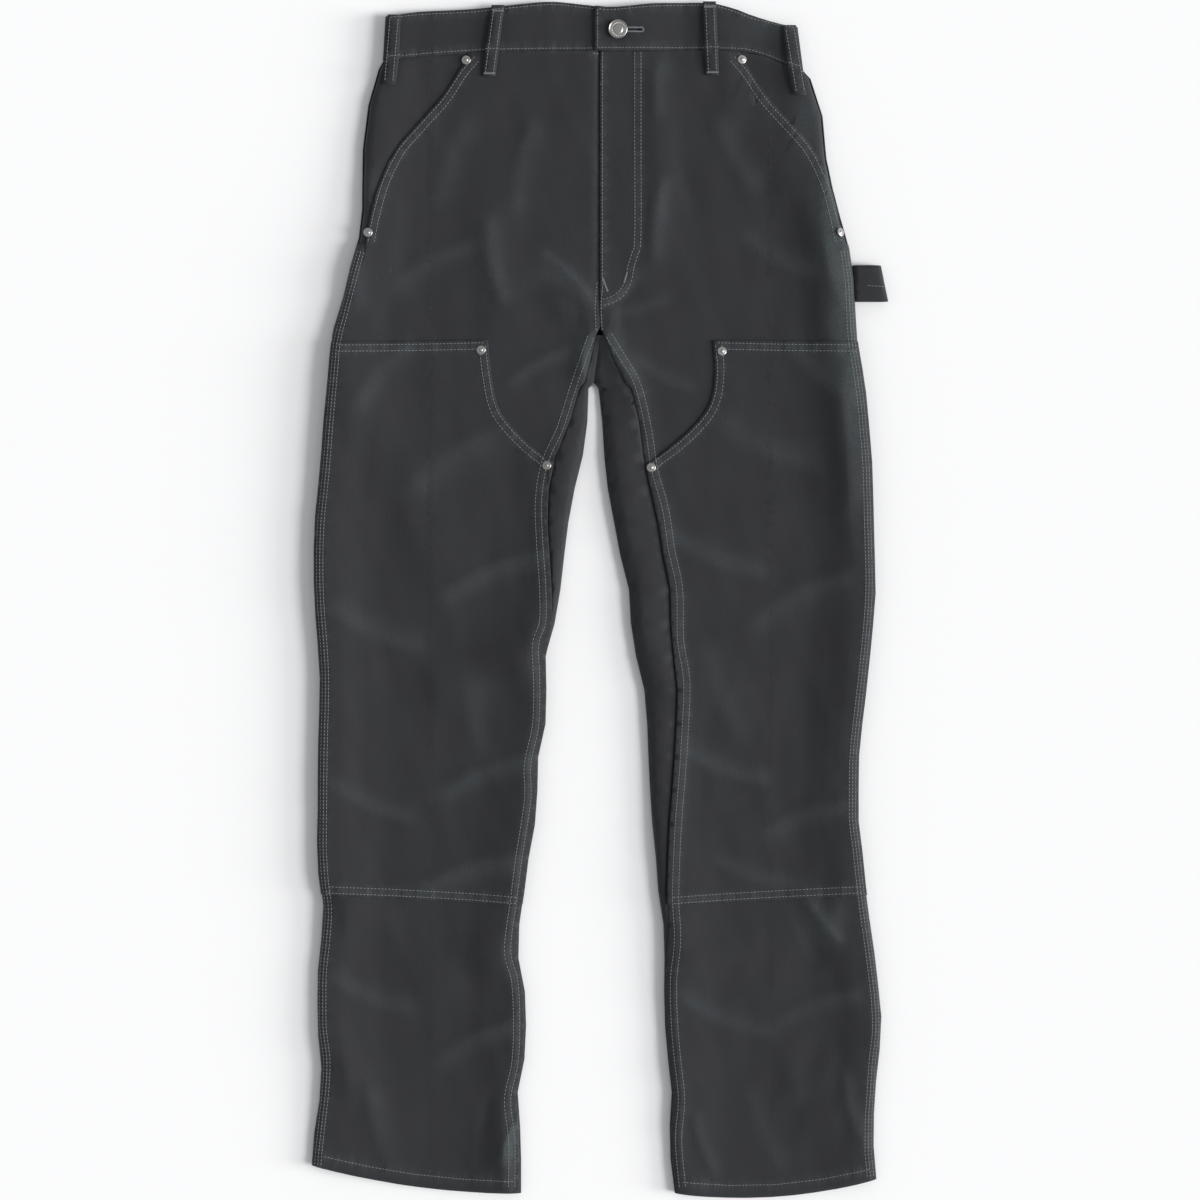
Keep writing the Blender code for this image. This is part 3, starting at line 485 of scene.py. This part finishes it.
def bartack(start, end):  # close stitches across a short line
    spots = []
    place, heading, _ = smoothLine([start, end], 0.75)
    for k, ((x, y), (dx, dy)) in enumerate(zip(place, heading)):
        found = onCloth(x, y)
        if found:
            lean = 0.18 if k % 2 else -0.18
            spots.append((found[0], found[1], Vector((-dy + lean * dx, dx + lean * dy, 0))))
    return spots


# Materials
# The paler duck tone is the colour that both random mottle and the painted sheen lighten the cloth towards.
duckLook = {
    "base": (0.0146, 0.0136, 0.0170), "paleAndSheen": (0.056, 0.070, 0.071), "roughness": (0.66, 0.86),
    "sheen": 0.22, "sheenRoughness": 0.45, "sheenTint": (0.60, 0.74, 0.78), "specular": 0.35,
    "pitch": 0.00085, "weftPitch": 0.86, "slub": 420.0, "weft": 360.0, "uneven": 1.4,
    "bump": 0.00016, "bumpStrength": 0.8, "mottle": 26.0, "mottleShare": 0.16, "grain": 520.0,
}
threadLook = {
    "base": (0.215, 0.220, 0.226), "dark": 0.7, "roughness": 0.55, "tone": 60.0,
    "ply": 900.0, "twist": 2.0, "bump": 0.0001, "bumpStrength": 0.6,
}
metalLook = {
    "base": (0.60, 0.59, 0.57), "dark": (0.23, 0.225, 0.22), "roughness": (0.24, 0.52),
    "tarnish": 700.0, "bump": 0.00006, "bumpStrength": 0.5,
}
floorLook = {"base": (0.93, 0.93, 0.93), "roughness": 0.9, "half": 20.0, "below": 0.0007}


def newMaterial(name, base, roughness=0.5, metallic=0.0):
    made = bpy.data.materials.new(name)
    made.use_nodes = True
    shader = made.node_tree.nodes["Principled BSDF"]
    shader.inputs["Base Color"].default_value = (*base, 1)
    shader.inputs["Roughness"].default_value = roughness
    shader.inputs["Metallic"].default_value = metallic
    return made, made.node_tree, shader


def add(tree, kind, links=(), **settings):
    made = tree.nodes.new(kind)
    for key, value in settings.items():
        setattr(made, key, value)
    for key, source in links:
        if hasattr(source, "is_output"):
            tree.links.new(source, made.inputs[key])
        else:
            made.inputs[key].default_value = source
    return made


def maths(tree, operation, *values):
    return add(tree, "ShaderNodeMath", list(enumerate(values)), operation=operation).outputs[0]


def noise(tree, vector, scale, detail=2.0):
    made = add(tree, "ShaderNodeTexNoise", [("Vector", vector), ("Scale", scale), ("Detail", detail)])
    return made.outputs["Fac"]


def bumped(tree, shader, height, look):
    links = [("Height", height), ("Distance", look["bump"]), ("Strength", look["bumpStrength"])]
    bump = add(tree, "ShaderNodeBump", links)
    tree.links.new(bump.outputs["Normal"], shader.inputs["Normal"])


def coloured(tree, shader, share, first, second):
    links = [("Factor", share), (6, (*first, 1)), (7, (*second, 1))]
    mix = add(tree, "ShaderNodeMix", links, data_type="RGBA")
    tree.links.new(mix.outputs[2], shader.inputs["Base Color"])


def roughened(tree, shader, share, low, high):
    spread = add(tree, "ShaderNodeMapRange", [("Value", share), ("To Min", low), ("To Max", high)])
    tree.links.new(spread.outputs[0], shader.inputs["Roughness"])


def duckMaterial():
    made, tree, shader = newMaterial("blackDuck", duckLook["base"])
    uv = add(tree, "ShaderNodeUVMap", uv_map="weave").outputs["UV"]
    parts = add(tree, "ShaderNodeSeparateXYZ", [("Vector", uv)])
    step = math.pi / duckLook["pitch"]
    across = maths(tree, "SINE", maths(tree, "MULTIPLY", parts.outputs["X"], step))
    along = maths(tree, "SINE", maths(tree, "MULTIPLY", parts.outputs["Y"], step * duckLook["weftPitch"]))
    weave = maths(tree, "MULTIPLY", across, along)
    warpYarns = add(tree, "ShaderNodeMapping", [("Vector", uv), ("Scale", (1.0, 0.12, 1.0))])
    weftYarns = add(tree, "ShaderNodeMapping", [("Vector", uv), ("Scale", (0.10, 1.0, 1.0))])
    slub = noise(tree, warpYarns.outputs[0], duckLook["slub"], 3.0)
    weft = noise(tree, weftYarns.outputs[0], duckLook["weft"])
    height = maths(tree, "MULTIPLY_ADD", maths(tree, "ADD", slub, weft), duckLook["uneven"], weave)
    bumped(tree, shader, height, duckLook)

    place = add(tree, "ShaderNodeTexCoord").outputs["Object"]
    mottle = noise(tree, place, duckLook["mottle"], 6.0)
    # Painted sheen from the attribute, broken up by grain noise and added to the random mottle, pales the
    # cloth.
    paintedSheen = add(tree, "ShaderNodeAttribute", attribute_name="paintedSheen").outputs["Fac"]
    patchySheen = maths(tree, "MULTIPLY", paintedSheen, noise(tree, place, duckLook["grain"]))
    mottleAndSheen = maths(tree, "MULTIPLY_ADD", mottle, duckLook["mottleShare"], patchySheen)
    coloured(tree, shader, mottleAndSheen, duckLook["base"], duckLook["paleAndSheen"])
    roughened(tree, shader, mottle, *duckLook["roughness"])
    shader.inputs["Sheen Weight"].default_value = duckLook["sheen"]
    shader.inputs["Sheen Roughness"].default_value = duckLook["sheenRoughness"]
    shader.inputs["Sheen Tint"].default_value = (*duckLook["sheenTint"], 1)
    shader.inputs["Specular IOR Level"].default_value = duckLook["specular"]
    return made


def threadMaterial():
    made, tree, shader = newMaterial("greyThread", threadLook["base"], threadLook["roughness"])
    place = add(tree, "ShaderNodeTexCoord").outputs["Object"]
    links = [("Vector", place), ("Scale", threadLook["ply"]), ("Distortion", threadLook["twist"])]
    ply = add(tree, "ShaderNodeTexWave", links, bands_direction="DIAGONAL")
    bumped(tree, shader, ply.outputs["Fac"], threadLook)
    dark = tuple(c * threadLook["dark"] for c in threadLook["base"])
    coloured(tree, shader, noise(tree, place, threadLook["tone"]), dark, threadLook["base"])
    return made


def metalMaterial():
    made, tree, shader = newMaterial("satinNickel", metalLook["base"], metallic=1.0)
    place = add(tree, "ShaderNodeTexCoord").outputs["Object"]
    tarnish = noise(tree, place, metalLook["tarnish"], 5.0)
    coloured(tree, shader, tarnish, metalLook["base"], metalLook["dark"])
    roughened(tree, shader, tarnish, *metalLook["roughness"])
    bumped(tree, shader, tarnish, metalLook)
    return made


duck = duckMaterial()
sewingThread = threadMaterial()
nickel = metalMaterial()
for piece in clothPieces.values():
    piece.data.materials.append(duck)
print("materials made")

# Sewing
shape, faces = stitchShape(thread["length"], thread["radius"])
groups = {}
for way, rows in ((-1, seams), (1, underSeams)):
    for name, group, line, offsets in rows:
        for offset in offsets:
            groups.setdefault(group, []).extend(rowSpots(line, offset, way))

beltLoop = {  # its rows' distance from its middle, and the middle's distance from the box of a side loop
    "rows": 4.0, "inset": 6.6,
    "front": [((109.5, 596), (112.3, 528)), ((-102.2, 592), (-110.8, 527))],
}
loopLines = [list(ends) for ends in beltLoop["front"]]
for side, node in ((1, "belt_loop_side_left"), (-1, "belt_loop_side_right")):
    low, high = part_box(node)
    inner, outer = (low.x, high.x) if side > 0 else (high.x, low.x)
    top = (inner / mm + side * beltLoop["inset"], high.y / mm - 4)
    bottom = (outer / mm - side * beltLoop["inset"], low.y / mm + 3)
    loopLines.append([top, bottom])
for line in loopLines:
    for offset in (-beltLoop["rows"], beltLoop["rows"]):
        groups.setdefault("loops", []).extend(rowSpots(line, offset))
hammerRow = [(267, 314.5), (284.5, 313.5)]
groups["loops"].extend(rowSpots(hammerRow, 0))

for group, spots in groups.items():
    sew("stitching_" + group, spots, shape, faces, sewingThread)
    print("stitches:", group, len(spots))

tack = {
    "length": 2.6, "radius": 0.38, "half": 5.5,
    "atFly": [((2.5, 322), (7.5, 309)), ((24, 318), (27, 328))],
}
tackLines = list(tack["atFly"])
for top, bottom in beltLoop["front"]:
    for x, y in ((bottom[0], bottom[1] - 0.2), (top[0], top[1] - 2.4)):
        tackLines.append(((x - tack["half"], y), (x + tack["half"], y)))
tackShape, tackFaces = stitchShape(tack["length"], tack["radius"])
tacks = [spot for start, end in tackLines for spot in bartack(start, end)]
sew("stitching_bartacks", tacks, tackShape, tackFaces, sewingThread)

buttonhole = {
    "x": 18.0, "y": 571.0, "eye": 3.9, "neck": 24.0, "middle": 34.0, "end": 42.4, "tip": 43.4, "half": 1.9,
    "pitch": 0.62, "length": 2.2, "radius": 0.30,
}
holeX, holeY = buttonhole["x"], buttonhole["y"]
straight = [buttonhole["end"], buttonhole["middle"], buttonhole["neck"]]
eye = [
    (holeX + buttonhole["eye"] * math.cos(turn), holeY + buttonhole["eye"] * math.sin(turn))
    for turn in np.linspace(0.5, 2 * math.pi - 0.5, 14)
]
keyhole = [(x, holeY + buttonhole["half"]) for x in straight] + eye
keyhole += [(x, holeY - buttonhole["half"]) for x in reversed(straight)]
keyhole += [(buttonhole["tip"], holeY), (buttonhole["end"], holeY + buttonhole["half"])]
ring = []
place, heading, _ = smoothLine(keyhole, buttonhole["pitch"])
for (x, y), (dx, dy) in zip(place, heading):
    found = onCloth(x, y)
    if found:
        ring.append((found[0], found[1], Vector((-dy, dx, 0))))
holeShape, holeFaces = stitchShape(buttonhole["length"], buttonhole["radius"])
sew("stitching_buttonhole", ring, holeShape, holeFaces, sewingThread)
print("sewing done")

# Metal
rivetLook = {
    "steps": 40,
    "profile": [
        (0, 2.0), (0.9, 1.96), (1.5, 1.72), (1.75, 1.25), (2.3, 0.98), (3.3, 1.12), (4.05, 1.06),
        (4.5, 0.72), (4.6, 0.25), (4.5, -0.3), (0, -0.3),
    ],
}
buttonLook = {
    "steps": 144, "ribs": 24, "ribHeight": 0.16, "ribbed": (5.6, 7.8), "height": 2.5,
    "profile": [
        (0, 2.15), (1.8, 2.2), (3.6, 2.15), (4.6, 1.95), (5.0, 1.55), (5.5, 1.5), (6.0, 1.75), (6.8, 1.85),
        (7.5, 1.7), (7.9, 1.6), (8.3, 2.3), (8.8, 2.55), (9.3, 2.3), (9.5, 1.7), (9.45, 1.0), (8.9, 0.35),
        (2.5, 0.3), (2.4, -3.0), (0, -3.0),
    ],
}


def turnedPiece(name, look, place, normal, node):
    bm = bmesh.new()
    points = [bm.verts.new((r * mm, 0, z * mm)) for r, z in look["profile"]]
    edges = [bm.edges.new(pair) for pair in zip(points, points[1:])]
    bmesh.ops.spin(
        bm, geom=points + edges, cent=(0, 0, 0), axis=(0, 0, 1), angle=2 * math.pi,
        steps=look["steps"], use_merge=True,
    )
    bmesh.ops.remove_doubles(bm, verts=bm.verts, dist=0.00001)
    bmesh.ops.recalc_face_normals(bm, faces=bm.faces)
    if "ribs" in look:
        inner, outer = look["ribbed"]
        for vert in bm.verts:
            radius = math.hypot(vert.co.x, vert.co.y) / mm
            if inner < radius < outer and vert.co.z > 0.001:
                turn = math.atan2(vert.co.y, vert.co.x)
                vert.co.z += look["ribHeight"] * mm * math.cos(look["ribs"] * turn)
    matrix = normal.to_track_quat("Z", "Y").to_matrix().to_4x4()
    matrix.translation = place
    bmesh.ops.transform(bm, matrix=matrix, verts=bm.verts)
    made = bpy.data.meshes.new(name)
    bm.to_mesh(made)
    bm.free()
    made.shade_smooth()
    made.set_sharp_from_angle(angle=math.radians(50))
    made.materials.append(nickel)
    piece = bpy.data.objects.new(name, made)
    bpy.context.scene.collection.objects.link(piece)
    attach(piece, "root")
    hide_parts(node)


for node in sorted(nodes):
    if node.startswith("rivet"):
        low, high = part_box(node)
        middle = (low + high) / 2
        place, normal = onCloth(middle.x / mm, middle.y / mm)
        turnedPiece(node + "_metal", rivetLook, place, normal, node)
low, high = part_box("waist_button")
seat = Vector(((low.x + high.x) / 2, (low.y + high.y) / 2, high.z - buttonLook["height"] * mm))
turnedPiece("waist_button_metal", buttonLook, seat, Vector((0, 0, 1)), "waist_button")
print("metal made")

# Floor, light and camera
light = {
    "world": 0.47,
    "suns": [  # name, strength, tilt from the vertical, turn, apparent size
        ("keySun", 1.9, 52, 78, 22),
        ("sideSun", 2.4, 74, 86, 20),
    ],
}
camera = {"lens": 100.0, "view": 1.2, "plane": 0.012}

bm = bmesh.new()
bmesh.ops.create_grid(bm, x_segments=2, y_segments=2, size=floorLook["half"])
bmesh.ops.translate(bm, verts=bm.verts, vec=(0, 0, -floorLook["below"]))
floorMesh = bpy.data.meshes.new("floor")
bm.to_mesh(floorMesh)
bm.free()
floorMaterial, _, _ = newMaterial("paleFloor", floorLook["base"], floorLook["roughness"])
floorMesh.materials.append(floorMaterial)
floor = bpy.data.objects.new("floor", floorMesh)
bpy.context.scene.collection.objects.link(floor)

world = bpy.data.worlds.new("studio")
world.use_nodes = True
world.node_tree.nodes["Background"].inputs["Color"].default_value = (0.97, 0.98, 1.0, 1)
world.node_tree.nodes["Background"].inputs["Strength"].default_value = light["world"]
bpy.context.scene.world = world
for name, strength, tilt, turn, size in light["suns"]:
    sun = bpy.data.lights.new(name, "SUN")
    sun.energy = strength
    sun.angle = math.radians(size)
    sunObject = bpy.data.objects.new(name, sun)
    sunObject.rotation_euler = (math.radians(tilt), 0, math.radians(turn))
    bpy.context.scene.collection.objects.link(sunObject)

lens = bpy.data.cameras.new("camera")
lens.lens = camera["lens"]
lens.clip_end = 100
cameraObject = bpy.data.objects.new("camera", lens)
cameraObject.location = (0, 0, camera["view"] * camera["lens"] / lens.sensor_width + camera["plane"])
bpy.context.scene.collection.objects.link(cameraObject)
bpy.context.scene.camera = cameraObject
bpy.context.scene.view_settings.view_transform = "Standard"
